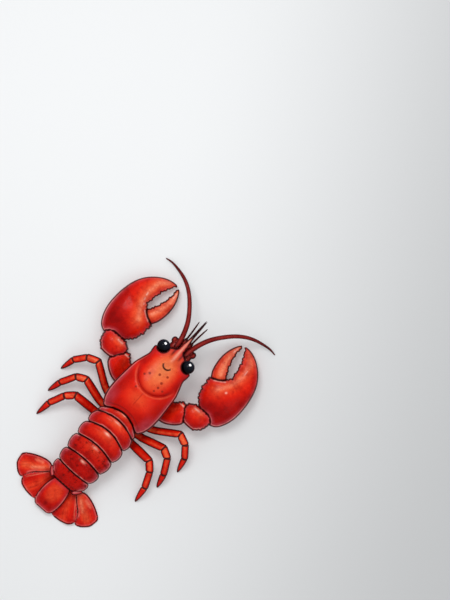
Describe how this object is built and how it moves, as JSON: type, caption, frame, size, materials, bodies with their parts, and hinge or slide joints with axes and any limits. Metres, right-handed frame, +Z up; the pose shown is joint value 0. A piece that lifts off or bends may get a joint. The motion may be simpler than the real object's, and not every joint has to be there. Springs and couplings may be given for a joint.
{
  "type": "cooked lobster",
  "caption": "Whole cooked red lobster lying flat on its belly, with open claws held ahead, curved feelers, bent walking legs and a spread tail fan.",
  "frame": {"origin": "on the table, under the middle of the bounding box", "axes": "-Y towards the head, +X to the animal's left, +Z up from the table"},
  "size_m": [0.196, 0.3097, 0.0545],
  "materials": {
    "carapace_shell": "glossy wet shell, red with an orange head",
    "claw_shell": "glossy wet shell, deep red with orange lights",
    "abdomen_shell": "glossy wet shell, darker and mottled towards the tail",
    "tail_shell": "glossy thin shell",
    "leg_shell": "glossy thin shell, darker at the joints",
    "feeler_shell": "dark red-brown, slightly rough",
    "belly_shell": "pale orange, slightly rough",
    "eye_black": "very glossy black"
  },
  "bodies": {
    "root": {"abdomen_ring_1": "abdomen_shell", "abdomen_ring_2": "abdomen_shell", "abdomen_ring_3": "abdomen_shell", "abdomen_ring_4": "abdomen_shell", "abdomen_ring_5": "abdomen_shell", "abdomen_ring_6": "abdomen_shell", "carapace": "carapace_shell", "claw_arm_left": "claw_shell", "claw_arm_right": "claw_shell", "claw_finger_left": "claw_shell", "claw_finger_right": "claw_shell", "claw_palm_left": "claw_shell", "claw_palm_right": "claw_shell", "claw_wrist_left": "claw_shell", "claw_wrist_right": "claw_shell", "eye_left": "eye_black", "eye_right": "eye_black", "feeler_base_left": "feeler_shell", "feeler_base_right": "feeler_shell", "leg_1_left_knee": "leg_shell", "leg_1_left_lower": "leg_shell", "leg_1_left_toe": "leg_shell", "leg_1_left_upper": "leg_shell", "leg_1_right_knee": "leg_shell", "leg_1_right_lower": "leg_shell", "leg_1_right_toe": "leg_shell", "leg_1_right_upper": "leg_shell", "leg_2_left_knee": "leg_shell", "leg_2_left_lower": "leg_shell", "leg_2_left_toe": "leg_shell", "leg_2_left_upper": "leg_shell", "leg_2_right_knee": "leg_shell", "leg_2_right_lower": "leg_shell", "leg_2_right_toe": "leg_shell", "leg_2_right_upper": "leg_shell", "leg_3_left_knee": "leg_shell", "leg_3_left_lower": "leg_shell", "leg_3_left_toe": "leg_shell", "leg_3_left_upper": "leg_shell", "leg_3_right_knee": "leg_shell", "leg_3_right_lower": "leg_shell", "leg_3_right_toe": "leg_shell", "leg_3_right_upper": "leg_shell", "long_feeler_left": "feeler_shell", "long_feeler_right": "feeler_shell", "mouth_limb_left": "leg_shell", "mouth_limb_right": "leg_shell", "short_feeler_left": "feeler_shell", "short_feeler_right": "feeler_shell", "sternum": "belly_shell", "tail_knuckle_left": "tail_shell", "tail_knuckle_right": "tail_shell", "tail_lobe_inner_left": "tail_shell", "tail_lobe_inner_right": "tail_shell", "tail_lobe_outer_left": "tail_shell", "tail_lobe_outer_right": "tail_shell", "telson": "tail_shell"}
  },
  "joints": []
}
